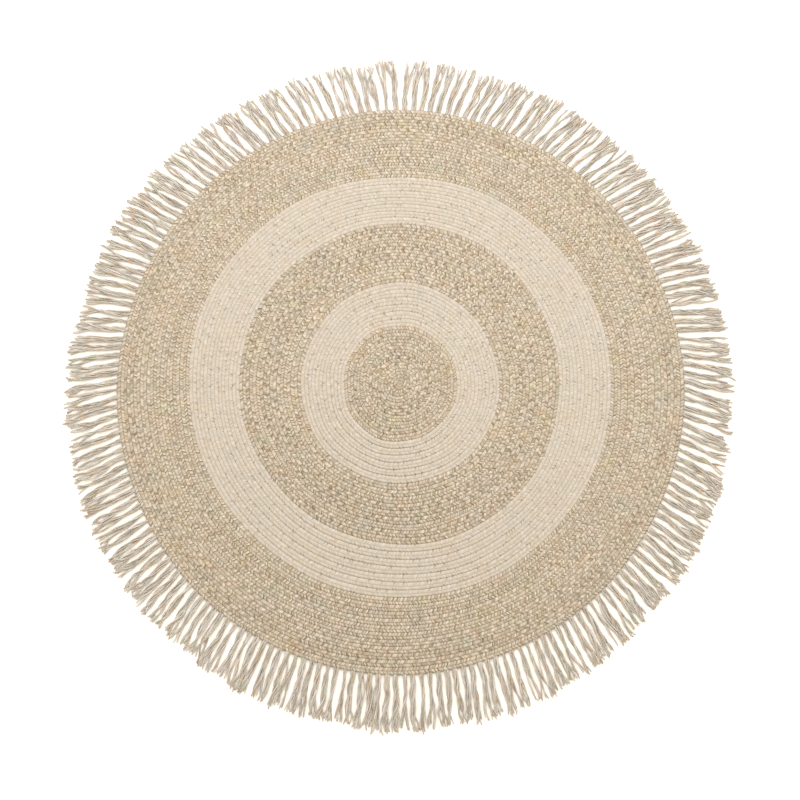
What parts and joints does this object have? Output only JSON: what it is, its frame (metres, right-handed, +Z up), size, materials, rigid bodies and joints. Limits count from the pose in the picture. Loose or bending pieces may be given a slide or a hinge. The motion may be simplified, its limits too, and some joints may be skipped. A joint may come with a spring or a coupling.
{
  "type": "round braided wool rug with a fringe",
  "caption": "Flat round rug of wool plaits laced in closed rows, in wide beige and cream bands, with a fringe of loose twisted cords sewn round the rim; it lies flat on a floor.",
  "frame": {"origin": "middle of the rug's flat underside, on the floor", "axes": "+Z up from the floor; -Y towards the front edge, where the fringe is longest; +X to the right"},
  "size_m": [1.1888, 1.1873, 0.008],
  "materials": {
    "beige_plait": "matt heathered beige wool plait",
    "cream_plait": "matt undyed cream wool plait",
    "fringe_cord": "matt heathered beige wool yarn, loosely twisted"
  },
  "bodies": {
    "root": {"centre_coil": "beige_plait", "inner_cream_band": "cream_plait", "middle_beige_band": "beige_plait", "outer_cream_band": "cream_plait", "rim_beige_band": "beige_plait", "fringe_trim": "fringe_cord"}
  },
  "joints": []
}
